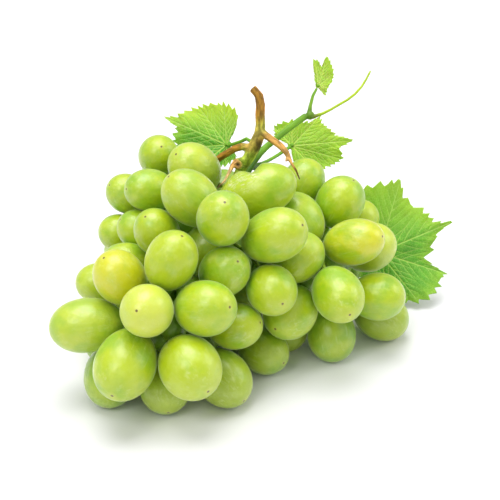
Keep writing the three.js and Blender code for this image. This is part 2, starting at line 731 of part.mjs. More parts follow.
const bunch = new THREE.Group();
bunch.add(face);
const bounds = new THREE.Box3().setFromObject(bunch, true);
const middle = bounds.getCenter(new THREE.Vector3());
bunch.position.set(-middle.x, -middle.y, 0);

export default bunch;
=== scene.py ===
"""A bunch of green table grapes with its young vine shoot, lying on a pale floor.

The berries, the woody stem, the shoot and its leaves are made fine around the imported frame.
Run as a script, it builds everything and its stage. All lengths are in metres unless a name or
a comment says millimetres.
"""

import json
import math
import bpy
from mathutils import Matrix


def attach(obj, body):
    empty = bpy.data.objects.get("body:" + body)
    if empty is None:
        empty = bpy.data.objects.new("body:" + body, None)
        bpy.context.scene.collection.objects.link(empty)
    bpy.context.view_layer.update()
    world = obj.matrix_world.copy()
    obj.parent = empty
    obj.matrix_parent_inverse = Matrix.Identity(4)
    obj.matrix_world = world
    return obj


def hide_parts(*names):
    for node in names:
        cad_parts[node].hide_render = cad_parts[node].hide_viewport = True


bl_info = {
    "name": "Bunch of Grapes",
    "version": (1, 0, 0),
    "blender": (4, 5, 0),
    "location": "View3D > Sidebar > Grapes",
    "description": "Fine berries, stem, shoot and leaves for a bunch of green table grapes",
    "category": "Object",
}

import bpy
import numpy as np
from mathutils import Matrix, Vector, noise

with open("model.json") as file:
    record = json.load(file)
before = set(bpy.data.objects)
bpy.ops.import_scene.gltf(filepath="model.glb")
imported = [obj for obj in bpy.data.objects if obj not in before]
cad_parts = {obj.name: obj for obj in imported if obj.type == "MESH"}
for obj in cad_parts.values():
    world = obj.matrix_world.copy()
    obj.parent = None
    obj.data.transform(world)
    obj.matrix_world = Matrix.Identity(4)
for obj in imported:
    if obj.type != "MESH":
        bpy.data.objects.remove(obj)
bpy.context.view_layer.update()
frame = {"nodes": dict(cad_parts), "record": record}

MM = 0.001
BODY = "root"

# The bunch leans back on the table. A place on it is across, up its leaning face and out of the
# face, in millimetres from its heart.
HEART = Vector((-0.0059, 0.0045, 0.042))
FACE_TILT = math.radians(60)
ACROSS = Vector((1, 0, 0))
UP = Vector((0, math.cos(FACE_TILT), math.sin(FACE_TILT)))
OUT = Vector((0, -math.sin(FACE_TILT), math.cos(FACE_TILT)))


def on_face(across, up, out):
    """The place in the frame of a place on the bunch."""
    return HEART + (ACROSS * across + UP * up + OUT * out) * MM


def srgb(red, green, blue):
    """A linear colour from the 0 to 255 values of a paint card."""
    return tuple((value / 255) ** 2.2 for value in (red, green, blue))


def tinted(colour, factors):
    """A colour, each part of it times its own factor and at most 1."""
    return tuple(min(1, part * factor) for part, factor in zip(colour, factors))


# What the settings of one kind have in common.
COLOUR = {"subtype": "COLOR", "min": 0, "max": 1}
LENGTH = {"unit": "LENGTH", "precision": 5}


# ---- Working with meshes ----


def activate(piece):
    """Makes one object the only selected one, and the active one."""
    bpy.ops.object.select_all(action="DESELECT")
    piece.select_set(True)
    bpy.context.view_layer.objects.active = piece


def points_of(mesh):
    """The points of a mesh as rows of an array."""
    flat = np.empty(len(mesh.vertices) * 3)
    mesh.vertices.foreach_get("co", flat)
    return flat.reshape(-1, 3)


def edge_ends(mesh):
    """The two points of each edge of a mesh, as rows of an array."""
    flat = np.empty(len(mesh.edges) * 2, int)
    mesh.edges.foreach_get("vertices", flat)
    return flat.reshape(-1, 2)


def move_points(mesh, points):
    """Puts the points of a mesh at the rows of an array."""
    mesh.vertices.foreach_set("co", np.asarray(points, np.float32).ravel())
    mesh.update()


def paint(mesh, name, values):
    """Stores a number or a vector on every point of a mesh, for its material to read."""
    values = np.asarray(values, np.float32)
    is_vector = values.ndim == 2
    layer = mesh.attributes.new(name, "FLOAT_VECTOR" if is_vector else "FLOAT", "POINT")
    layer.data.foreach_set("vector" if is_vector else "value", values.ravel())


def edit_whole(piece, operator, **settings):
    """Runs an operator of edit mode on the whole of a piece."""
    activate(piece)
    bpy.ops.object.mode_set(mode="EDIT")
    bpy.ops.mesh.select_all(action="SELECT")
    operator(**settings)
    bpy.ops.object.mode_set(mode="OBJECT")


def copy_of(source, name):
    """A new object with its own copy of another's mesh."""
    piece = bpy.data.objects.new(name, source.data.copy())
    bpy.context.scene.collection.objects.link(piece)
    return piece


def cad_copy(node, name):
    """A copy of a CAD node's mesh, its loose triangles joined."""
    piece = copy_of(frame["nodes"][node], name)
    piece.data.materials.clear()
    edit_whole(piece, bpy.ops.mesh.remove_doubles, threshold=1e-6)
    return piece


def apply_modifier(piece, kind, **settings):
    """Adds a modifier to a piece, sets it and applies it."""
    activate(piece)
    bpy.ops.object.modifier_add(type=kind)
    modifier = piece.modifiers[-1]
    for name, value in settings.items():
        setattr(modifier, name, value)
    bpy.ops.object.modifier_apply(modifier=modifier.name)


def settle_in(piece, nodes, slot, *materials):
    """Gives a finished piece its materials, smooth shading, its body and its CAD nodes. Its slot is not
    used.
    """
    for material in materials:
        piece.data.materials.append(material)
    activate(piece)
    bpy.ops.object.shade_smooth()
    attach(piece, BODY)
    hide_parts(*nodes)


def turn_to(axis):
    """The matrix that turns Z to an axis."""
    return np.array(Vector((0, 0, 1)).rotation_difference(Vector(axis)).to_matrix())


def smooth_step(values, low, high):
    """0 up to low, 1 from high, and an easy slope between."""
    share = np.clip((values - low) / (high - low), 0, 1)
    return share * share * (3 - 2 * share)


# ---- Shader maths ----


class Term:
    """A number socket. A sum written with it adds its Math nodes."""

    def __init__(self, finish, socket):
        self.finish = finish
        self.socket = socket

    def maths(self, operation, first, second):
        """The outcome of a Math node."""
        made = self.finish.node("ShaderNodeMath", {"operation": operation}, {0: first, 1: second})
        return Term(self.finish, made.outputs[0])

    def __add__(self, other):
        return self.maths("ADD", self, other)

    def __radd__(self, other):
        return self.maths("ADD", other, self)

    def __sub__(self, other):
        return self.maths("SUBTRACT", self, other)

    def __rsub__(self, other):
        return self.maths("SUBTRACT", other, self)

    def __mul__(self, other):
        return self.maths("MULTIPLY", self, other)

    def __rmul__(self, other):
        return self.maths("MULTIPLY", other, self)

    def __pow__(self, other):
        return self.maths("POWER", self, other)

    def above(self, low, high):
        """0 up to low, 1 from high, and an easy slope between."""
        made = self.finish.node(
            "ShaderNodeMapRange",
            {"interpolation_type": "SMOOTHSTEP"},
            {"Value": self, "From Min": low, "From Max": high},
        )
        return Term(self.finish, made.outputs[0])

    def below(self, low, high):
        """1 up to low and 0 from high."""
        return 1 - self.above(low, high)


class Finish:
    """A material, made node by node around one shader."""

    def __init__(self, name):
        self.material = bpy.data.materials.new(name)
        self.material.use_nodes = True
        self.tree = self.material.node_tree
        self.tree.nodes.clear()
        self.shader = self.node("ShaderNodeBsdfPrincipled")
        self.node("ShaderNodeOutputMaterial", {}, {"Surface": self.shader.outputs[0]})

    def node(self, kind, settings=None, sockets=None):
        """A node of one kind, its settings set first, then the values or links of its sockets."""
        made = self.tree.nodes.new(kind)
        for name, value in (settings or {}).items():
            setattr(made, name, value)
        self.join(made, sockets or {})
        return made

    def join(self, made, sockets):
        """Gives a node's sockets their values or links."""
        for name, value in sockets.items():
            if isinstance(value, Term):
                value = value.socket
            if isinstance(value, bpy.types.NodeSocket):
                self.tree.links.new(value, made.inputs[name])
            elif made.inputs[name].type == "RGBA":
                made.inputs[name].default_value = (*value, 1)
            else:
                made.inputs[name].default_value = value

    def set(self, **sockets):
        """Sets the shader's sockets. An underscore in a name stands for a space."""
        self.join(self.shader, {name.replace("_", " "): value for name, value in sockets.items()})

    def vector(self, attribute):
        """A vector that is painted on the piece."""
        made = self.node("ShaderNodeAttribute", {"attribute_name": attribute})
        return made.outputs["Vector"]

    def number(self, attribute):
        """A number that is painted on the piece."""
        made = self.node("ShaderNodeAttribute", {"attribute_name": attribute})
        return Term(self, made.outputs["Fac"])

    def scaled(self, vector, factors):
        """A vector or a colour, each part of it times its own factor."""
        made = self.node("ShaderNodeVectorMath", {"operation": "MULTIPLY"}, {0: vector, 1: factors})
        return made.outputs[0]

    def parts(self, vector):
        """The three parts of a vector."""
        made = self.node("ShaderNodeSeparateXYZ", {}, {0: vector})
        return [Term(self, socket) for socket in made.outputs]

    def noise(self, vector, scale, detail=2.0, roughness=0.5):
        """Soft chance values between 0 and 1."""
        made = self.node(
            "ShaderNodeTexNoise",
            {},
            {"Vector": vector, "Scale": scale, "Detail": detail, "Roughness": roughness},
        )
        return Term(self, made.outputs["Fac"])

    def cells(self, vector, scale, feature="F1"):
        """The distance to the nearest of many scattered points, or to the nearest cell's edge."""
        made = self.node(
            "ShaderNodeTexVoronoi", {"feature": feature}, {"Vector": vector, "Scale": scale}
        )
        return Term(self, made.outputs["Distance"])

    def mix(self, share, first, second):
        """A colour that goes from the first to the second as share goes from 0 to 1."""
        made = self.node("ShaderNodeMix", {"data_type": "RGBA"}, {0: share, 6: first, 7: second})
        return made.outputs[2]

    def bump(self, height, depth, under=None):
        """A normal from a height map. depth is the real height in metres of 1 on the map."""
        sockets = {"Strength": 1.0, "Distance": depth, "Height": height}
        if under is not None:
            sockets["Normal"] = under
        return self.node("ShaderNodeBump", {}, sockets).outputs[0]


# ---- Berries ----

GRAPE_SIDES = 56
GRAPE_RINGS = 40
GRAPE_SEED = 7
DIMPLE_DEPTH = 0.02  # where the stalk goes in, against the berry's half length
DIMPLE_REACH = 0.3
LUMPS = 4  # gentle swellings on each berry
LUMP_HEIGHT = 0.007  # of one, against the berry's half width
TAPER = 0.03  # how much narrower the stem end is
PAINTED_FRONT_LIGHT = 0.55  # how much yellower and lighter a berry is painted on its side towards the bunch's face, as painted light

# Red, green and blue factors for the greenest and the yellowest parts of a skin. Besides chance
# mottling, the yellowest is painted light on a berry's front and the greenest painted shade on its
# sides and underside.
GREENER = (0.66, 0.86, 1.3)
YELLOWER = (1.14, 1.04, 0.8)
PALE_SKIN = srgb(226, 230, 96)
SKIN_VEIN = srgb(216, 230, 90)
WAX = srgb(208, 226, 130)
WAX_STREAK = srgb(228, 236, 170)
SPECK = srgb(128, 120, 40)
DRY_SCAR = srgb(232, 230, 190)
BLOSSOM_HALO = srgb(222, 216, 110)
BLOSSOM_DOT = srgb(92, 66, 16)
STALK_COLLAR = srgb(196, 190, 90)

# Berries painted paler, each with how far its colour goes to pale: on some it is their own paler skin,
# on berry_18 and berry_19 it is painted light.
PALE_AND_PAINTED_LIGHT = {"berry_01": 0.2, "berry_04": 0.5, "berry_18": 0.25, "berry_19": 0.15, "berry_30": 0.3}

# The long odd berry at the top has a notch and dry scars by its stem end. Their places are across
# and up the bunch's face, and all their sizes are in millimetres.
ODD_NODE = "berry_16"
ODD_NOTCH = (0, 33.5)
NOTCH_WIDTH = 5.5
NOTCH_DEPTH = 2.8
ODD_SCARS = [(-7, 26), (-4, 28), (-8, 22), (-2, 25), (1, 29)]
SCAR_WIDTH = 4

# Small berries fill the hollows deep in the bunch.
CORE_GIRTH = 9 * MM  # the most a small berry's radius may be
CORE_LEAST = 4.6 * MM
CORE_STEP = 3 * MM  # between the places that are tried
CORE_COVER = 0.9  # share of the directions in which other berries hide a hollow
CORE_SWELL = 0.1 * MM
CORE_SEEDS = [(34.5, -4.5, -26), (43.5, -9, -34), (29.5, 8, -37), (33.5, -5, -10.5)]  # filled first
STALK_SUNK = 3 * MM  # how deep a stalk may lie in a small berry


class GrapeSettings(bpy.types.PropertyGroup):
    """The look of the berries."""

    swell: bpy.props.FloatProperty(
        name="Swell",
        description="How far the skin stands out from the frame's berry, to meet its neighbours",
        default=0.14 * MM,
        min=0,
        **LENGTH,
    )
    skin: bpy.props.FloatVectorProperty(
        name="Skin", description="Colour of an ordinary berry", default=srgb(170, 197, 20), **COLOUR
    )
    ripe: bpy.props.FloatVectorProperty(
        name="Ripe skin",
        description="Colour of the yellowest berries",
        default=srgb(196, 204, 22),
        **COLOUR,
    )
    shaded: bpy.props.FloatVectorProperty(
        name="Shaded skin",
        description="Colour of the berries underneath and behind",
        default=srgb(152, 182, 32),
        **COLOUR,
    )
    bloom: bpy.props.FloatProperty(
        name="Bloom",
        description="Share of the pale wax on the skin",
        default=0.18,
        min=0,
        max=1,
        subtype="FACTOR",
    )


def berry_nodes():
    """The frame's berries, in their order."""
    nodes = sorted(name for name in frame["nodes"] if name.startswith("berry_"))
    if not nodes:
        raise RuntimeError("the frame has no berries")
    return nodes


def oval_of(node, stem_points):
    """Centre, axis to the blossom end, half length and half width of a CAD berry."""
    points = np.unique(np.round(points_of(frame["nodes"][node].data), 6), axis=0)
    apart = np.linalg.norm(points[:, None] - points[None], axis=2)
    first, second = np.unravel_index(apart.argmax(), apart.shape)
    ends = points[[first, second]]
    to_stem = [np.linalg.norm(stem_points - end, axis=1).min() for end in ends]
    stem_end, blossom_end = ends[np.argsort(to_stem)]
    centre = ends.mean(axis=0)
    reach = np.linalg.norm(blossom_end - stem_end) / 2
    axis = (blossom_end - stem_end) / (2 * reach)
    along = (points - centre) @ axis
    out = np.linalg.norm(points - centre - np.outer(along, axis), axis=1)
    middle = np.abs(along) < 0.9 * reach
    girth = np.median(out[middle] / np.sqrt(1 - (along[middle] / reach) ** 2))
    return centre, axis, reach, girth


def grape_form():
    """A ball of radius 1 with its poles on Z, drawn in a little where the stalk goes in."""
    bpy.ops.object.select_all(action="DESELECT")
    bpy.ops.mesh.primitive_uv_sphere_add(segments=GRAPE_SIDES, ring_count=GRAPE_RINGS, radius=1)
    form = bpy.context.object
    bpy.ops.object.mode_set(mode="EDIT")
    bpy.ops.mesh.select_all(action="DESELECT")
    bpy.ops.object.mode_set(mode="OBJECT")
    lowest = min(form.data.vertices, key=lambda vertex: vertex.co.z)
    lowest.select = True
    bpy.ops.object.mode_set(mode="EDIT")
    bpy.ops.transform.translate(
        value=(0, 0, DIMPLE_DEPTH),
        use_proportional_edit=True,
        proportional_edit_falloff="SMOOTH",
        proportional_size=DIMPLE_REACH,
    )
    bpy.ops.object.mode_set(mode="OBJECT")
    return form


def lumps_on(ball, luck):
    """A swelling of each point of the ball, by a few soft waves in chance directions."""
    swelling = np.zeros(len(ball))
    for _ in range(LUMPS):
        direction = luck.normal(size=3)
        direction /= np.linalg.norm(direction)
        swelling += LUMP_HEIGHT * np.cos(luck.uniform(1.5, 3.5) * ball @ direction + luck.uniform(0, 6))
    return swelling


def near(points, spots, radius):
    """1 at any of the spots on the bunch's face, falling softly to 0 at the radius."""
    flat = (points - np.array(HEART)) @ np.array([ACROSS, UP]).T / MM
    nearest = np.min([np.linalg.norm(flat - np.array(spot), axis=1) for spot in spots], axis=0)
    return 1 - smooth_step(nearest, 0, radius)


def make_grape(form, node, stem_points, swell, luck):
    """One berry: the form stretched to its oval, laid along its axis and pressed on the table."""
    centre, axis, reach, girth = oval_of(node, stem_points)
    piece = copy_of(form, node.replace("berry", "grape"))
    ball = points_of(form.data)
    turn = turn_to(axis)
    spin = np.array(Matrix.Rotation(luck.uniform(0, 2 * math.pi), 3, "Z"))
    width = (girth + swell) * (1 + TAPER * ball[:, 2:]) * (1 + lumps_on(ball, luck)[:, None])
    shape = np.hstack([ball[:, :2] * width, ball[:, 2:] * (reach + swell)])
    placed = centre + shape @ spin.T @ turn.T
    scar = np.zeros(len(ball))
    if node == ODD_NODE:
        away = (centre - placed) / np.linalg.norm(centre - placed, axis=1)[:, None]
        placed += NOTCH_DEPTH * MM * near(placed, [ODD_NOTCH], NOTCH_WIDTH)[:, None] * away
        scar = near(placed, ODD_SCARS, SCAR_WIDTH) * (away @ np.array(OUT) < 0)
    placed[:, 2] = np.maximum(placed[:, 2], 0)
    move_points(piece.data, placed)
    paint(piece.data, "on_ball", ball)
    paint(piece.data, "grain", ball * (1, 1, reach / girth) + luck.uniform(-50, 50, 3))
    paint(piece.data, "scar", scar)
    # Painted light: a berry is painted yellower on its side facing out of the bunch's face, and greener
    # on its sides and underside as painted shade, on top of a chance ripeness.
    facing = (placed - centre) @ np.array(OUT) / reach
    paint(piece.data, "ripeness_and_painted_light", luck.uniform(0.2, 0.8) + PAINTED_FRONT_LIGHT * facing)
    # How far a berry is painted pale: on some its own paler skin, on berry_18 and berry_19 painted
    # light.
    paint(piece.data, "pale", np.full(len(ball), PALE_AND_PAINTED_LIGHT.get(node, 0)))
    paint(piece.data, "wax", np.full(len(ball), luck.uniform(0.4, 1.6)))
    return piece


def room_in_bunch(places, ovals, stem_points):
    """How big a ball fits at each place between the berries. It may swallow a thin stalk."""
    room = np.full(len(places), CORE_GIRTH)
    for centre, axis, reach, girth in ovals:
        apart = places - centre
        distance = np.linalg.norm(apart, axis=1)
        lean = (apart @ axis / distance) ** 2
        room = np.minimum(room, distance - 1 / np.sqrt(lean / reach**2 + (1 - lean) / girth**2))
    for point in stem_points[::4]:
        distance = np.linalg.norm(places - point, axis=1)
        room = np.minimum(room, distance + STALK_SUNK)
    return room


def cover_of(places, ovals):
    """The share of the directions from each place in which a berry or the table is met."""
    steps = np.stack(np.meshgrid([-1, 0, 1], [-1, 0, 1], [-1, 0, 1]), axis=-1).reshape(-1, 3)
    directions = [step / np.linalg.norm(step) for step in steps if step.any()]
    met = np.zeros(len(places))
    for direction in directions:
        hidden = np.full(len(places), direction[2] < -0.5)
        for centre, _, _, girth in ovals:
            ahead = (centre - places) @ direction
            beside = np.linalg.norm(centre - places - ahead[:, None] * direction, axis=1)
            hidden |= (ahead > 0) & (beside < girth)
        met += hidden
    return met / len(directions)


def core_places(ovals, stem_points):
    """Balls, as centre and radius, that fill the biggest hollows deep inside the bunch."""
    centres = np.array([oval[0] for oval in ovals])
    low, high = centres.min(axis=0), centres.max(axis=0)
    steps = [np.arange(start, stop, CORE_STEP) for start, stop in zip(low, high)]
    places = np.stack(np.meshgrid(*steps, indexing="ij"), axis=-1).reshape(-1, 3)
    room = room_in_bunch(places, ovals, stem_points)
    places = places[room > CORE_LEAST]
    seeds = np.array([on_face(*seed) for seed in CORE_SEEDS])
    places = np.vstack([seeds, places[cover_of(places, ovals) > CORE_COVER]])
    room = room_in_bunch(places, ovals, stem_points)
    balls = []
    while room.max() > CORE_LEAST:
        best = len(balls) if len(balls) < len(seeds) else room.argmax()
        balls.append((places[best].copy(), room[best]))
        room = np.minimum(room, np.linalg.norm(places - places[best], axis=1) - room[best])
    return balls


def make_core_grape(form, number, place, radius, luck):
    """A small berry in a hollow between the others."""
    piece = copy_of(form, f"core_grape_{number:02d}")
    ball = points_of(form.data)
    move_points(piece.data, place + ball * (radius + CORE_SWELL))
    paint(piece.data, "on_ball", ball)
    paint(piece.data, "grain", ball + luck.uniform(-50, 50, 3))
    # Zero here leaves a small berry without painted light, wax or paleness, so it takes the greenest,
    # darkest tones: painted shade deep in the bunch.
    for name in ("scar", "ripeness_and_painted_light", "wax", "pale"):
        paint(piece.data, name, np.zeros(len(ball)))
    return piece


def grape_finish(name, skin, bloom_share):
    """Translucent skin with a wax bloom, faint lengthwise veins and a dry blossom scar."""
    finish = Finish(name)
    across_x, across_y, along = finish.parts(finish.vector("on_ball"))
    from_axis = (across_x * across_x + across_y * across_y) ** 0.5
    grain = finish.vector("grain")
    green = tinted(skin, GREENER)
    yellow = tinted(skin, YELLOWER)
    # The mix from green to yellow carries chance mottling and ripeness, and painted light on each
    # berry's front with painted shade on its sides and underside.
    mottle = finish.noise(grain, 1.1, 3, 0.55) + 0.35 * (finish.number("ripeness_and_painted_light") - 0.6)
    veins = finish.noise(finish.scaled(grain, (5.5, 5.5, 0.6)), 1, 3, 0.6)
    colour = finish.mix(mottle.above(0.3, 0.7), green, yellow)
    # Paler skin, and on berry_18 and berry_19 painted light.
    colour = finish.mix(finish.number("pale"), colour, PALE_SKIN)
    colour = finish.mix(veins.above(0.5, 0.75) * 0.12, colour, SKIN_VEIN)
    bloom = finish.noise(grain, 1.7, 5, 0.62).above(0.4, 0.75) * finish.number("wax") * bloom_share
    colour = finish.mix(bloom, colour, WAX)
    patches = finish.noise(grain, 2.3, 2)
    streaks = finish.noise(finish.scaled(grain, (7, 7, 0.9)), 1, 4, 0.65).above(0.48, 0.7)
    streaks = streaks * finish.noise(grain, 1.4, 3).above(0.44, 0.62) * finish.number("wax")
    colour = finish.mix(streaks * 0.22, colour, WAX_STREAK)
    specks = finish.cells(grain, 6.5).below(0.05, 0.09) * patches.above(0.5, 0.6)
    colour = finish.mix(specks * 0.35, colour, SPECK)
    wrinkles = finish.noise(finish.scaled(grain, (9, 9, 4)), 1, 4, 0.7)
    dry = finish.number("scar") * wrinkles.above(0.48, 0.6)
    colour = finish.mix(dry * 0.7, colour, DRY_SCAR)
    halo = from_axis.below(0.06, 0.22) * along.above(0, 0.5)
    colour = finish.mix(halo * 0.25, colour, BLOSSOM_HALO)
    dot = from_axis.below(0.035, 0.06) * along.above(0, 0.5)
    colour = finish.mix(dot * 0.9, colour, BLOSSOM_DOT)
    collar = from_axis.below(0.16, 0.34) * along.below(-0.5, 0)
    colour = finish.mix(collar * 0.5, colour, STALK_COLLAR)
    fine = finish.noise(grain, 22, 3)
    rough = 0.36 + 0.3 * bloom + 0.08 * streaks + 0.06 * fine + 0.2 * dry
    height = fine + 0.8 * veins + 2 * dry - 3 * dot
    dents = finish.bump(finish.noise(grain, 2.2, 3, 0.6), 0.5 * MM)
    finish.set(
        Base_Color=colour,
        Roughness=rough,
        Subsurface_Weight=0.35,
        Subsurface_Radius=(0.9, 1.0, 0.2),
        Subsurface_Scale=4 * MM,
        IOR=1.42,
        Specular_IOR_Level=0.9,
        Sheen_Weight=0.5,
        Sheen_Roughness=0.3,
        Sheen_Tint=srgb(244, 248, 222),
        Coat_Weight=0.4,
        Coat_Roughness=0.26,
        Normal=finish.bump(height, 0.04 * MM, under=dents),
    )
    return finish.material


class GRAPES_OT_berries(bpy.types.Operator):
    """Make every berry fine, in its place"""

    bl_idname = "grapes.berries"
    bl_label = "Berries"

    def execute(self, context):
        settings = context.scene.grape_settings
        nodes = berry_nodes()
        slots = {row["node"]: row["material_slot"] for row in frame["record"]["subparts"]}
        finishes = {
            "skin": grape_finish("Grape skin", settings.skin, settings.bloom),
            "ripe_skin": grape_finish("Ripe grape skin", settings.ripe, settings.bloom),
            "shaded_skin": grape_finish("Shaded grape skin", settings.shaded, settings.bloom),
        }
        stem_points = points_of(frame["nodes"]["stem"].data)
        form = grape_form()
        luck = np.random.default_rng(GRAPE_SEED)
        for node in nodes:
            piece = make_grape(form, node, stem_points, settings.swell, luck)
            settle_in(piece, [node], slots[node], finishes[slots[node]])
        ovals = [oval_of(node, stem_points) for node in nodes]
        for number, (place, radius) in enumerate(core_places(ovals, stem_points), 1):
            piece = make_core_grape(form, number, place, radius, luck)
            settle_in(piece, [], "shaded_skin", finishes["shaded_skin"])
        bpy.data.objects.remove(form)
        return {"FINISHED"}


# ---- Stem ----

STEM_CELL = 0.36 * MM  # of the fine mesh
STEM_SMOOTHING = 8
LINE_ROUNDS = 120  # of smoothing that draw a branch in to its middle line
CAP_WIDTH = 3.4 * MM  # of the swollen end of a berry's stalk
CAP_HEIGHT = 1.5 * MM

# Painted shade: near black, in the knot's hollow and inside the fork.
HOLLOW_SHADE = srgb(40, 26, 8)
DARK_BARK = srgb(92, 66, 28)
BROWN_BARK = srgb(180, 126, 50)
TAN_BARK = srgb(192, 146, 80)
PALE_WOOD = srgb(220, 184, 126)
OLIVE_BARK = srgb(188, 172, 82)
GREEN_BARK = srgb(168, 190, 74)
STALK_GREEN = srgb(150, 184, 60)

# Red, green and blue factors for the dark and the light fibres of the bark.
DARK_FIBRES = (0.5, 0.48, 0.45)
LIGHT_FIBRES = (1.45, 1.38, 1.3)
FIBRE_WIDTH = 0.9 * MM
FIBRE_LENGTH = 7 * MM

# The bark's colour at places on the stem, each with how far its influence reaches; inside the fork it
# is painted shade. A little of the plain colour is mixed in everywhere, and is all there is far from
# these places.
PLAIN_SHARE = 0.02
STEM_TONES = [
    ((-0.5, 66, 6), 2, DARK_BARK),
    ((3, 60, 6), 4, BROWN_BARK),
    ((4, 54, 4), 4, BROWN_BARK),
    ((6, 50, 3), 3, GREEN_BARK),
    ((2.5, 47, 3), 2.5, OLIVE_BARK),
    # Painted shade: the inside of the fork is painted dark.
    ((3.5, 41.5, 4), 2, DARK_BARK),
    ((3, 40.5, 2), 1.5, HOLLOW_SHADE),
    ((-1.5, 41, 2), 1.8, TAN_BARK),
    ((1, 41, 3), 2.2, OLIVE_BARK),
    ((-1, 36, 1), 2.5, GREEN_BARK),
    ((0, 38, -2), 3.5, GREEN_BARK),
    ((-4, 32, -8), 5, GREEN_BARK),
    ((8, 44, 5), 3, TAN_BARK),
    ((12, 40.5, 7), 3.5, TAN_BARK),
    ((16, 35, 10), 3, TAN_BARK),
    ((14, 34.5, 11), 1.5, PALE_WOOD),
    ((18.5, 30, 11), 2, DARK_BARK),
    ((-5, 41.5, -4), 3, BROWN_BARK),
    ((-10, 38.5, -9), 4, BROWN_BARK),
    ((-16, 35, -15), 4, DARK_BARK),
    ((-7, 34, 4), 2.5, TAN_BARK),
    ((-9, 29, 8.5), 3, PALE_WOOD),
    ((-12.5, 24.5, 11), 1.5, DARK_BARK),
    ((-6, 35.5, 4), 1.4, TAN_BARK),
]

# A knot where a branch was torn off: its place, its radius and the depth of its hollow, in
# millimetres.
KNOT = (-4.8, 33.8, 3)
KNOT_GIRTH = 1.9
KNOT_HOLLOW = 1.1

# Above the fork, the main stalk is lighter at its sides and darker in front.
MAIN_STALK = (3, 47, 3)  # where this sets in, on the bunch's face
MAIN_RISE = 8 * MM  # over which it does
SIDE_LIGHT = 0.25
FRONT_SHADE = (0.34, 0.28, 0.38)  # in red, green and blue


class StemSettings(bpy.types.PropertyGroup):
    """The look of the woody stem."""

    bark_depth: bpy.props.FloatProperty(
        name="Bark depth",
        description="Height of the ridges along the bark",
        default=0.11 * MM,
        min=0,
        **LENGTH,
    )
    stalk: bpy.props.FloatVectorProperty(
        name="Stalk",
        description="Colour of the little stalks inside the bunch",
        default=STALK_GREEN,
        **COLOUR,
    )


def middle_line(mesh, rounds):
    """For each point of a mesh of tubes, its place drawn in to the middle of its tube."""
    line = points_of(mesh)
    count = len(line)
    first, second = edge_ends(mesh).T
    neighbours = np.bincount(first, minlength=count) + np.bincount(second, minlength=count)
    for _ in range(rounds):
        total = np.stack(
            [
                np.bincount(first, line[second, k], count) + np.bincount(second, line[first, k], count)
                for k in range(3)
            ],
            axis=1,
        )
        line = 0.5 * line + 0.5 * total / neighbours[:, None]
    return line


def joined_with(piece, extras):
    """Joins other objects into a piece."""
    activate(piece)
    for extra in extras:
        extra.select_set(True)
    bpy.ops.object.join()
    return piece


def joint_balls(joints):
    """Small balls that fill out joints and knots."""
    balls = []
    for place, radius in joints:
        bpy.ops.object.select_all(action="DESELECT")
        bpy.ops.mesh.primitive_ico_sphere_add(
            subdivisions=3, radius=radius * MM, location=on_face(*place)
        )
        bpy.ops.object.transform_apply(location=True, rotation=True, scale=True)
        balls.append(bpy.context.object)
    return balls


def stalk_caps(stem_points):
    """The swollen end of each berry's stalk, sunk a little into its skin."""
    bpy.ops.object.select_all(action="DESELECT")
    bpy.ops.mesh.primitive_uv_sphere_add(segments=16, ring_count=10, radius=0.5)
    form = bpy.context.object
    ball = points_of(form.data) * (CAP_WIDTH, CAP_WIDTH, CAP_HEIGHT)
    caps = []
    for node in berry_nodes():
        centre, axis, reach, _ = oval_of(node, stem_points)
        cap = copy_of(form, "cap")
        move_points(cap.data, centre - axis * (reach + 0.3 * CAP_HEIGHT) + ball @ turn_to(axis).T)
        caps.append(cap)
    bpy.data.objects.remove(form)
    return caps


def fine_tubes(piece, cell, smoothing):
    """Turns faceted tubes into one fine smooth mesh."""
    apply_modifier(piece, "REMESH", mode="VOXEL", voxel_size=cell)
    apply_modifier(piece, "SMOOTH", factor=0.5, iterations=smoothing)


def tones_at(points, tones, plain):
    """The colour of each point, by its nearness to places with known tones."""
    weight = np.full(len(points), PLAIN_SHARE)
    colour = weight[:, None] * np.array(plain)
    for place, reach, tone in tones:
        distance = np.linalg.norm(points - np.array(on_face(*place)), axis=1)
        share = np.exp(-((distance / (reach * MM)) ** 2))
        weight += share
        colour += share[:, None] * np.array(tone)
    return colour / weight[:, None]


def fibres_of(points, line):
    """Coordinates that change fast round a branch and slowly along it, for fibres."""
    return (points - line) / FIBRE_WIDTH + line / FIBRE_LENGTH


def off_line(points, line):
    """The direction from the middle line of a tube to each point on it, of length 1."""
    return (points - line) / np.linalg.norm(points - line, axis=1)[:, None]


def ridges_at(fibres):
    """The height of the bark's ridges at each point, about -1 to 1."""
    return np.array([noise.fractal(Vector(fibre), 0.9, 2.0, 3) for fibre in fibres])


def knot_hollow(points):
    """1 where the knot's hollow is deepest, falling softly to 0 at its rim."""
    face = np.array(on_face(*KNOT)) + np.array(OUT) * KNOT_GIRTH * MM
    return 1 - smooth_step(np.linalg.norm(points - face, axis=1), 0, 0.9 * KNOT_GIRTH * MM)


def bark_tones(points, out, hollow, stalk):
    """The bark's colour at each point of the stem, with painted shade inside the fork and in the knot's
    hollow.
    """
    tone = tones_at(points, STEM_TONES, stalk)
    high = smooth_step((points - np.array(on_face(*MAIN_STALK))) @ np.array(UP), 0, MAIN_RISE)
    facing = smooth_step(out @ np.array(OUT), 0.35, 0.9) * high
    tone = tone * (1 + SIDE_LIGHT * (high * (1 - facing))[:, None])
    tone = tone * (1 - facing[:, None] * np.array(FRONT_SHADE))
    # Painted shade: the knot's hollow is painted near black.
    return tone + hollow[:, None] * (np.array(HOLLOW_SHADE) - tone)


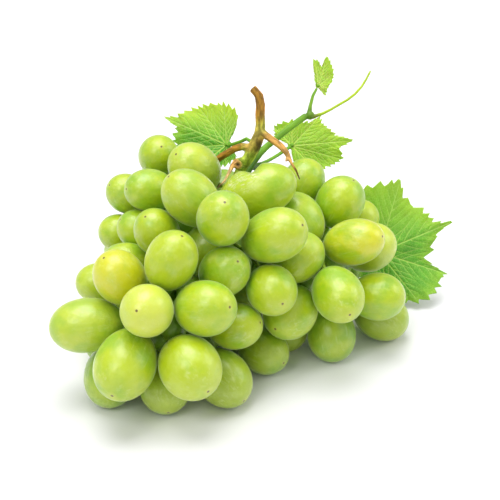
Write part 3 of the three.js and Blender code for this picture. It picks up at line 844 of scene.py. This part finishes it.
def bark_finish(name, rough):
    """Fibrous bark that takes its colour from the tone painted on it."""
    finish = Finish(name)
    fibres = finish.vector("fibres")
    tone = finish.vector("tone")
    streaks = finish.noise(fibres, 1.6, 5, 0.62)
    threads = finish.noise(fibres, 5, 4, 0.6)
    dark = finish.scaled(tone, DARK_FIBRES)
    light = finish.scaled(tone, LIGHT_FIBRES)
    colour = finish.mix(streaks.above(0.36, 0.66), dark, light)
    colour = finish.mix(threads.above(0.52, 0.7) * 0.3, colour, tone)
    finish.set(
        Base_Color=colour,
        Roughness=rough + 0.25 * streaks,
        IOR=1.4,
        Normal=finish.bump(streaks + 0.5 * threads, 0.16 * MM),
    )
    return finish.material


class GRAPES_OT_stem(bpy.types.Operator):
    """Make the woody stem with its bark and the little stalks"""

    bl_idname = "grapes.stem"
    bl_label = "Stem"

    def execute(self, context):
        settings = context.scene.stem_settings
        stem_points = points_of(frame["nodes"]["stem"].data)
        extras = stalk_caps(stem_points) + joint_balls([(KNOT, KNOT_GIRTH)])
        piece = joined_with(cad_copy("stem", "woody_stem"), extras)
        fine_tubes(piece, STEM_CELL, STEM_SMOOTHING)
        points = points_of(piece.data)
        line = middle_line(piece.data, LINE_ROUNDS)
        hollow = knot_hollow(points)
        points -= (hollow * KNOT_HOLLOW * MM)[:, None] * np.array(OUT)
        out = off_line(points, line)
        fibres = fibres_of(points, line)
        tone = bark_tones(points, out, hollow, settings.stalk)
        brown = smooth_step(tone[:, 0] / tone[:, 1], 0.9, 1.5)
        depth = settings.bark_depth * (0.25 + 0.75 * brown)
        move_points(piece.data, points + out * (depth * ridges_at(fibres))[:, None])
        paint(piece.data, "fibres", fibres)
        paint(piece.data, "tone", tone)
        settle_in(piece, ["stem"], "bark", bark_finish("Bark", 0.6))
        return {"FINISHED"}


# ---- Shoot ----

SHOOT_CELL = 0.24 * MM
SHOOT_SMOOTHING = 6
SHOOT_SWELL = 0.16 * MM  # what the smoothing drew in
SHOOT_GREEN = srgb(108, 158, 44)
SHOOT_DARK = srgb(66, 106, 32)
SHOOT_PALE = srgb(164, 192, 36)
SHOOT_BROWN = srgb(120, 92, 44)

# The shoot's colour at places on it, each with how far its influence reaches.
SHOOT_TONES = [
    ((1, 36, -16), 4, SHOOT_DARK),
    ((5, 41, -17), 4, SHOOT_GREEN),
    ((12, 47, -18), 5, SHOOT_GREEN),
    ((20, 53, -20), 4, SHOOT_GREEN),
    ((25, 56, -20), 2.5, SHOOT_DARK),
    ((27.5, 54.5, -20), 1.4, SHOOT_BROWN),
    ((4.4, 35.2, -15), 1.4, SHOOT_BROWN),
    ((34, 58, -18), 6, SHOOT_PALE),
    ((46, 68, -18), 8, SHOOT_PALE),
    ((26, 63, -20), 4, SHOOT_GREEN),
]

# Where the shoot meets the stem and where a leaf stalk meets its blade, with the joint's radius.
SHOOT_JOINTS = [
    ((-3, 31, -13), 2.3),
    ((25, 56, -20), 1.7),
    ((56, -1, -41), 0.85),
    ((-10, 45, -33), 0.8),
    ((18, 45, -37), 0.8),
    ((28.4, 68.4, -20), 0.55),
]


def shoot_finish(name):
    """Smooth young green stalk with faint lengthwise lines."""
    finish = Finish(name)
    fibres = finish.vector("fibres")
    tone = finish.vector("tone")
    lines = finish.noise(fibres, 1.1, 3, 0.5)
    light = finish.scaled(tone, (1.5, 1.35, 1.1))
    colour = finish.mix(lines.above(0.4, 0.7) * 0.6, tone, light)
    finish.set(
        Base_Color=colour,
        Roughness=0.38 + 0.15 * lines,
        Subsurface_Weight=0.1,
        Subsurface_Radius=(0.7, 1.0, 0.2),
        Subsurface_Scale=1.5 * MM,
        IOR=1.4,
        Normal=finish.bump(lines, 0.06 * MM),
    )
    return finish.material


class GRAPES_OT_shoot(bpy.types.Operator):
    """Make the green shoot with its leaf stalks and tendril"""

    bl_idname = "grapes.shoot"
    bl_label = "Shoot"

    def execute(self, context):
        piece = joined_with(cad_copy("shoot", "green_shoot"), joint_balls(SHOOT_JOINTS))
        fine_tubes(piece, SHOOT_CELL, SHOOT_SMOOTHING)
        points = points_of(piece.data)
        line = middle_line(piece.data, LINE_ROUNDS)
        fibres = fibres_of(points, line)
        move_points(piece.data, points + SHOOT_SWELL * off_line(points, line))
        paint(piece.data, "fibres", fibres)
        paint(piece.data, "tone", tones_at(points, SHOOT_TONES, SHOOT_GREEN))
        settle_in(piece, ["shoot"], "shoot", shoot_finish("Green shoot"))
        return {"FINISHED"}


# ---- Leaves ----

LEAF_RINGS = 48
LEAF_SPOKES = 700
SIDE_VEINS = np.arange(0.17, 0.92, 0.15)  # where side veins leave a main one, as shares of it
VEIN_STEPS = 7  # points along a side vein
TOOTH_POINT = 1.35  # how drawn out a tooth's point is
TOOTH_PEAKS = (0.7, 0.3)  # where along a tooth its point is, before and after a lobe's tip
RIM_WAVE = 0.35  # of the rim up and down, in millimetres
PUCKER_HEIGHT = 0.3  # of the blade between its veins, in millimetres
VEIN_SUNK = 0.2
PUCKER_GAP = 2.2 * MM  # from a vein to where the blade stands fully
TABLE_GAP = 0.5 * MM  # between the table and the lowest blade
LEAF_DARK = (0.6, 0.76, 0.7)  # red, green and blue factors for a blade's darkest parts
LEAF_ROUGH = 0.4
UNDER_ROUGH = 0.6

# Beside the blade's own colour: its lighter colour, for painted light on one side and for the rim, its
# veins, its underside and that one's lighter colour.
LEAF_COLOURS = (srgb(182, 208, 50), srgb(186, 216, 104), srgb(146, 184, 96), srgb(158, 194, 100))
YOUNG_COLOURS = (srgb(182, 212, 60), srgb(200, 224, 108), srgb(176, 208, 104), srgb(186, 212, 106))
UNDER_VEIN = srgb(204, 222, 150)

# Each leaf's rim runs round its stalk as (angle from the middle lobe, share of the length). Its
# veins are the angles and reaches of the main ones, which its side veins leave. Its cup and its
# ripple are in millimetres, with the number of waves. Its teeth are a length along the rim and a
# depth, in millimetres, and its painted light is the angle of the side painted lighter and yellower,
# and how much.
LEAVES = {
    "leaf_right": {
        "slot": "leaf",
        "rim": [
            (-180, 0.08), (-170, 0.25), (-145, 0.45), (-115, 0.6), (-86, 0.7), (-71, 0.82), (-58, 0.86),
            (-49, 0.86), (-45, 0.83), (-41, 0.9), (-36, 0.66), (-30, 0.6), (-16, 0.68), (-8, 0.72),
            (-3, 0.82), (0, 1), (3, 0.86), (7, 0.79), (14, 0.78), (23, 0.76), (34, 0.74), (44, 0.78),
            (51, 0.95), (60, 0.88), (70, 0.86), (80, 0.84), (95, 0.75), (120, 0.58), (150, 0.4),
            (172, 0.2),
        ],
        "veins": [(0, 0.96), (51, 0.9), (-41, 0.86), (-75, 0.74), (88, 0.74), (130, 0.5), (-120, 0.52)],
        "cup": 2.5,
        "ripple": 1.8,
        "waves": 5,
        "teeth": (4.4, 2.3),
        "painted_light": (70, 0.5),
    },
    "leaf_left": {
        "slot": "leaf",
        "rim": [
            (-150, 0.07), (-102, 0.07), (-91, 0.36), (-86, 0.48), (-77, 0.54), (-62, 0.6), (-51, 0.62),
            (-40, 0.66), (-31, 0.69), (-20, 0.74), (-13, 0.8), (-5, 0.85), (0, 1), (4, 0.8), (9, 0.76),
            (14, 0.8), (26, 0.74), (45, 0.72), (65, 0.6), (85, 0.45), (103, 0.33), (125, 0.27),
            (152, 0.24), (168, 0.07),
        ],
        "veins": [(0, 0.95), (-30, 0.66), (-62, 0.56), (28, 0.7), (62, 0.56), (110, 0.28), (-85, 0.44)],
        "cup": -2.5,
        "ripple": 1.4,
        "waves": 5,
        "teeth": (2.8, 1.9),
        "painted_light": (-70, 1.3),
    },
    "leaf_back": {
        "slot": "young_leaf",
        "rim": [
            (-96, 0.07), (-86, 0.28), (-62, 0.5), (-45, 0.62), (-36, 0.68), (-19, 0.86), (-7, 0.78),
            (0, 1), (8, 0.74), (21, 0.66), (32, 0.62), (42, 0.66), (48, 0.48), (62, 0.42), (95, 0.4),
            (130, 0.42), (148, 0.3), (158, 0.07),
        ],
        "veins": [(0, 0.95), (42, 0.62), (-20, 0.82), (-50, 0.54), (85, 0.38), (130, 0.4)],
        "cup": 2.5,
        "ripple": 1.2,
        "waves": 5,
        "teeth": (2.2, 1.5),
        "painted_light": (60, 0.8),
    },
    "leaf_young": {
        "slot": "young_leaf",
        "rim": [
            (-150, 0.1), (-138, 0.2), (-131, 0.41), (-105, 0.33), (-74, 0.34), (-54, 0.5), (-25, 0.74),
            (-10, 0.88), (0, 1), (7, 0.62), (16, 0.8), (28, 0.9), (36, 0.4), (60, 0.1),
        ],
        "veins": [(0, 0.9), (24, 0.78), (-35, 0.6), (-90, 0.3), (-131, 0.36)],
        "cup": 1.0,
        "ripple": 0.8,
        "waves": 4,
        "teeth": (1.6, 0.9),
        "painted_light": (0, 0.6),
    },
}


class LeafSettings(bpy.types.PropertyGroup):
    """The look of the leaves."""

    thickness: bpy.props.FloatProperty(
        name="Thickness",
        description="Thickness of a blade",
        default=0.3 * MM,
        min=0.05 * MM,
        **LENGTH,
    )
    teeth: bpy.props.FloatProperty(
        name="Teeth", description="Share of their full depth that the teeth have", default=1, min=0
    )
    blade: bpy.props.FloatVectorProperty(
        name="Blade", description="Colour of a grown leaf", default=srgb(108, 174, 56), **COLOUR
    )
    young: bpy.props.FloatVectorProperty(
        name="Young blade", description="Colour of a young leaf", default=srgb(166, 204, 60), **COLOUR
    )


def blade_frame(node):
    """Where a CAD leaf's stalk joins it, its directions along, across and off the blade, its length."""
    copy = cad_copy(node, "blade")
    mesh = copy.data
    points = points_of(mesh)
    busiest = np.argsort(np.bincount(edge_ends(mesh).ravel(), minlength=len(points)))[-2:]
    pair = points[busiest]
    bpy.data.objects.remove(copy)
    joint = pair.mean(axis=0)
    off = pair[0] - pair[1]
    off *= np.sign(off @ np.array(OUT)) / np.linalg.norm(off)
    tip = points[np.linalg.norm(points - joint, axis=1).argmax()] - joint
    tip -= off * (tip @ off)
    length = np.linalg.norm(tip)
    along = tip / length
    return joint, along, np.cross(off, along), off, length


def rim_reach(rim, angles):
    """The rim's share of the leaf's length at each angle, in degrees."""
    turned = np.array([angle for angle, _ in rim], float)
    shares = np.array([share for _, share in rim])
    return np.interp(angles, turned, shares, period=360)


def toothed(angles, reach, length, pitch, depth, luck):
    """The reach with pointed teeth cut into it along the rim. They lean to the nearest lobe's tip."""
    turn = np.radians(angles)
    edge = np.stack([reach * np.cos(turn), reach * np.sin(turn)], axis=1) * length
    steps = np.linalg.norm(np.diff(edge, axis=0, prepend=edge[:1]), axis=1)
    travelled = np.cumsum(steps)
    count = max(6, round(travelled[-1] / pitch))
    bounds = np.cumsum(luck.uniform(0.6, 1.4, count))
    bounds *= travelled[-1] / bounds[-1]
    sizes = luck.uniform(0.55, 1.15, count)
    index = np.minimum(np.searchsorted(bounds, travelled), count - 1)
    starts = np.concatenate([[0], bounds])[index]
    share = (travelled - starts) / (bounds[index] - starts)
    rise = np.interp(bounds, travelled, reach) - np.interp(bounds - pitch, travelled, reach)
    peak = np.where(rise[index] > 0, *TOOTH_PEAKS)
    point = np.minimum(share / peak, (1 - share) / (1 - peak)) ** TOOTH_POINT
    fade = smooth_step(reach * length, 1.5 * MM, 6 * MM)
    return reach + depth / length * sizes[index] * (point - 0.45) * fade


def vein_lines(veins, luck):
    """The veins as lists of points in the blade's plane, each with its width at the start."""
    lines = []
    for angle, reach in veins:
        turn = math.radians(angle)
        along = np.array([math.cos(turn), math.sin(turn)])
        lines.append((np.outer(np.linspace(0, reach, 12), along), 1.0))
        for side in (-1, 1):
            for spot in SIDE_VEINS + luck.uniform(-0.02, 0.02, len(SIDE_VEINS)) + 0.04 * side:
                start = along * spot * reach
                lean = math.radians(46 - 10 * spot) * side
                size = 0.55 * reach * (1.05 - spot) ** 0.75
                bend = np.linspace(0, 1, VEIN_STEPS)
                headings = turn + lean * (1 - 0.35 * bend)
                steps = np.stack([np.cos(headings), np.sin(headings)], axis=1) * size / (VEIN_STEPS - 1)
                lines.append((start + np.cumsum(steps, axis=0) - steps[0], 0.5))
    return lines


def distance_to(points, line):
    """Each point's distance from a line of points, and how far along the line it is nearest."""
    best = np.full(len(points), np.inf)
    spot = np.zeros(len(points))
    for index in range(len(line) - 1):
        start, step = line[index], line[index + 1] - line[index]
        share = np.clip((points - start) @ step / (step @ step), 0, 1)
        distance = np.linalg.norm(points - start - share[:, None] * step, axis=1)
        closer = distance < best
        best = np.where(closer, distance, best)
        spot = np.where(closer, (index + share) / (len(line) - 1), spot)
    return best, spot


def make_leaf(node, leaf, settings, luck):
    """A toothed, veined blade over its CAD leaf, made from a grid rolled into a fan."""
    joint, along, across, off, length = blade_frame(node)
    bpy.ops.object.select_all(action="DESELECT")
    bpy.ops.mesh.primitive_grid_add(x_subdivisions=LEAF_SPOKES, y_subdivisions=LEAF_RINGS, size=2)
    piece = bpy.context.object
    piece.name = node.replace("leaf", "vine_leaf")
    grid = points_of(piece.data)
    angles = np.round(grid[:, 0] + 1, 6) * 180
    share = (grid[:, 1] + 1) / 2
    spokes = np.unique(angles)
    pitch, depth = (part * MM for part in leaf["teeth"])
    reach = rim_reach(leaf["rim"], spokes)
    reach = toothed(spokes, reach, length, pitch, depth * settings.teeth, luck)
    reach[-1] = reach[0]
    flat_reach = share * np.interp(angles, spokes, reach)
    turn = np.radians(angles)
    flat = np.stack([flat_reach * np.cos(turn), flat_reach * np.sin(turn)], axis=1)
    vein = np.zeros(len(flat))
    clear = np.full(len(flat), 1.0)
    for line, weight in vein_lines(leaf["veins"], luck):
        distance, spot = distance_to(flat, line)
        distance = distance * length
        width = (0.3 * weight + 0.05) * (1.15 - 0.8 * spot) * MM
        vein = np.maximum(vein, (0.45 + 0.55 * weight) * np.exp(-((distance / width) ** 2)))
        clear = np.minimum(clear, distance / PUCKER_GAP + 0.25 * (1 - weight))
    height = leaf["cup"] * flat_reach**2 + leaf["ripple"] * flat_reach * np.cos(leaf["waves"] * turn)
    puckers = PUCKER_HEIGHT * np.clip(clear, 0, 1) ** 0.8 - VEIN_SUNK * vein
    edge = smooth_step(share, 0.8, 1) * RIM_WAVE * np.sin(turn * 17 + 3 * np.sin(turn * 5))
    height = (height + puckers + edge) * MM
    placed = (
        joint
        + np.outer(flat[:, 0] * length, along)
        + np.outer(flat[:, 1] * length, across)
        + np.outer(height, off)
    )
    placed[:, 2] = np.maximum(placed[:, 2], TABLE_GAP)
    move_points(piece.data, placed)
    paint(piece.data, "vein", vein)
    paint(piece.data, "edge", share)
    # Painted light: the side of the blade towards the given angle is painted lighter and yellower.
    light_angle, light_share = leaf["painted_light"]
    painted_light = smooth_step(flat_reach * np.cos(turn - math.radians(light_angle)), 0, 0.55)
    paint(piece.data, "painted_light", painted_light * light_share)
    paint(piece.data, "blade", np.hstack([flat * length / 0.01, np.zeros((len(flat), 1))]))
    edit_whole(piece, bpy.ops.mesh.remove_doubles, threshold=1e-7)
    edit_whole(piece, bpy.ops.mesh.normals_make_consistent, inside=False)
    normal = np.mean([list(face.normal) for face in piece.data.polygons], axis=0)
    if normal @ off < 0:
        piece.data.flip_normals()
    return piece


def leaf_finish(name, blade, lighter_colour, vein_colour, rough):
    """A soft blade with pale veins and a fine net of small veins between them."""
    finish = Finish(name)
    place = finish.vector("blade")
    vein = finish.number("vein")
    edge = finish.number("edge")
    net = finish.cells(place, 9, "DISTANCE_TO_EDGE").below(0.02, 0.09)
    mottle = finish.noise(place, 1.6, 4, 0.6)
    colour = finish.mix(mottle.above(0.3, 0.68), tinted(blade, LEAF_DARK), blade)
    # Painted light: one side of the blade is painted lighter and yellower.
    colour = finish.mix(finish.number("painted_light") * 0.7, colour, lighter_colour)
    colour = finish.mix(edge.above(0.7, 1.0) * 0.35, colour, lighter_colour)
    colour = finish.mix(net * 0.3, colour, vein_colour)
    colour = finish.mix(vein.above(0.15, 0.7) * 0.85, colour, vein_colour)
    finish.set(
        Base_Color=colour,
        Roughness=rough + 0.15 * mottle,
        Subsurface_Weight=0.3,
        Subsurface_Radius=(0.5, 1.0, 0.15),
        Subsurface_Scale=1.2 * MM,
        IOR=1.4,
        Normal=finish.bump(0.5 * mottle - 0.6 * net, 0.12 * MM),
    )
    return finish.material


def both_sides(name, blade, painted_light, vein, under, under_lighter):
    """The finishes of a leaf's face and of its underside."""
    return [
        leaf_finish(name, blade, painted_light, vein, LEAF_ROUGH),
        leaf_finish(f"{name} underside", under, under_lighter, UNDER_VEIN, UNDER_ROUGH),
    ]


class GRAPES_OT_leaves(bpy.types.Operator):
    """Make the vine leaves"""

    bl_idname = "grapes.leaves"
    bl_label = "Leaves"

    def execute(self, context):
        settings = context.scene.leaf_settings
        finishes = {
            "leaf": both_sides("Vine leaf", settings.blade, *LEAF_COLOURS),
            "young_leaf": both_sides("Young leaf", settings.young, *YOUNG_COLOURS),
        }
        for number, (node, leaf) in enumerate(LEAVES.items()):
            luck = np.random.default_rng(number)
            piece = make_leaf(node, leaf, settings, luck)
            settle_in(piece, [node], leaf["slot"], *finishes[leaf["slot"]])
            apply_modifier(
                piece, "SOLIDIFY", thickness=settings.thickness, offset=-1, material_offset=1
            )
        return {"FINISHED"}


# ---- Stage ----

FLOOR_SIZE = 6
FLOOR_SUNK = 0.05 * MM
FLOOR_ROUGH = 0.9
WORLD_LIGHT = 0.54
SENSOR_WIDTH = 36  # of the camera, in millimetres

# Each soft light's name, place from the heart, width and watts.
LIGHTS = [
    ("top_light", (-0.1, 0.12, 1.0), 0.72, 9.0),
    ("front_light", (-0.6, -0.8, 1.1), 0.55, 5.6),
    ("right_light", (0.5, 0.05, 0.3), 0.3, 0.8),
]


class StageSettings(bpy.types.PropertyGroup):
    """The camera, the floor and the light."""

    distance: bpy.props.FloatProperty(
        name="Distance", description="Camera to the heart of the bunch", default=0.5, unit="LENGTH"
    )
    elevation: bpy.props.FloatProperty(
        name="Elevation",
        description="How far the camera looks down",
        default=math.radians(30),
        subtype="ANGLE",
    )
    lens: bpy.props.FloatProperty(
        name="Lens", description="Focal length, in millimetres", default=90
    )
    floor: bpy.props.FloatVectorProperty(
        name="Floor", description="Colour of the floor", default=(0.88, 0.87, 0.9), **COLOUR
    )


def add_light(name, place, aim, size, power):
    """A square soft light at a place, turned to its aim."""
    bpy.ops.object.select_all(action="DESELECT")
    bpy.ops.object.light_add(type="AREA", location=place)
    light = bpy.context.object
    light.name = name
    light.rotation_euler = (Vector(aim) - Vector(place)).to_track_quat("-Z", "Y").to_euler()
    light.data.shape = "SQUARE"
    light.data.size = size
    light.data.energy = power


class GRAPES_OT_stage(bpy.types.Operator):
    """Make the floor, the soft light and the camera"""

    bl_idname = "grapes.stage"
    bl_label = "Stage"

    def execute(self, context):
        settings = context.scene.stage_settings
        bpy.ops.object.select_all(action="DESELECT")
        bpy.ops.mesh.primitive_plane_add(size=FLOOR_SIZE, location=(0, 0, -FLOOR_SUNK))
        floor = context.object
        floor.name = "floor"
        finish = Finish("Pale floor")
        finish.set(Base_Color=tuple(settings.floor), Roughness=FLOOR_ROUGH)
        floor.data.materials.append(finish.material)
        for name, place, size, power in LIGHTS:
            add_light(name, HEART + Vector(place), HEART, size, power)
        world = bpy.data.worlds.new("Studio")
        context.scene.world = world
        world.use_nodes = True
        background = world.node_tree.nodes["Background"]
        background.inputs["Color"].default_value = (1, 1, 1, 1)
        background.inputs["Strength"].default_value = WORLD_LIGHT
        back = Vector((0, -math.cos(settings.elevation), math.sin(settings.elevation)))
        bpy.ops.object.camera_add(location=HEART + back * settings.distance)
        camera = context.object
        camera.name = "camera"
        camera.rotation_euler = (-back).to_track_quat("-Z", "Y").to_euler()
        camera.data.lens = settings.lens
        camera.data.sensor_width = SENSOR_WIDTH
        camera.data.clip_start = 10 * MM
        context.scene.camera = camera
        context.scene.view_settings.view_transform = "Standard"
        return {"FINISHED"}


class GRAPES_PT_bunch(bpy.types.Panel):
    """Lists the pieces of the bunch and their settings"""

    bl_label = "Bunch of Grapes"
    bl_space_type = "VIEW_3D"
    bl_region_type = "UI"
    bl_category = "Grapes"

    def draw(self, context):
        for operator, settings in SECTIONS:
            self.layout.operator(operator.bl_idname)
            if settings is None:
                continue
            group = getattr(context.scene, settings)
            for name in type(group).__annotations__:
                self.layout.prop(group, name)


SECTIONS = [
    (GRAPES_OT_berries, "grape_settings"),
    (GRAPES_OT_stem, "stem_settings"),
    (GRAPES_OT_shoot, None),
    (GRAPES_OT_leaves, "leaf_settings"),
    (GRAPES_OT_stage, "stage_settings"),
]
SETTINGS = {
    "grape_settings": GrapeSettings,
    "stem_settings": StemSettings,
    "leaf_settings": LeafSettings,
    "stage_settings": StageSettings,
}
CLASSES = [*SETTINGS.values(), *(operator for operator, _ in SECTIONS), GRAPES_PT_bunch]


def register():
    for made in CLASSES:
        bpy.utils.register_class(made)
    for name, group in SETTINGS.items():
        setattr(bpy.types.Scene, name, bpy.props.PointerProperty(type=group))


def unregister():
    for name in SETTINGS:
        delattr(bpy.types.Scene, name)
    for made in reversed(CLASSES):
        bpy.utils.unregister_class(made)


def main():
    register()
    bpy.ops.grapes.berries()
    bpy.ops.grapes.stem()
    bpy.ops.grapes.shoot()
    bpy.ops.grapes.leaves()
    bpy.ops.grapes.stage()


if __name__ == "__main__":
    main()
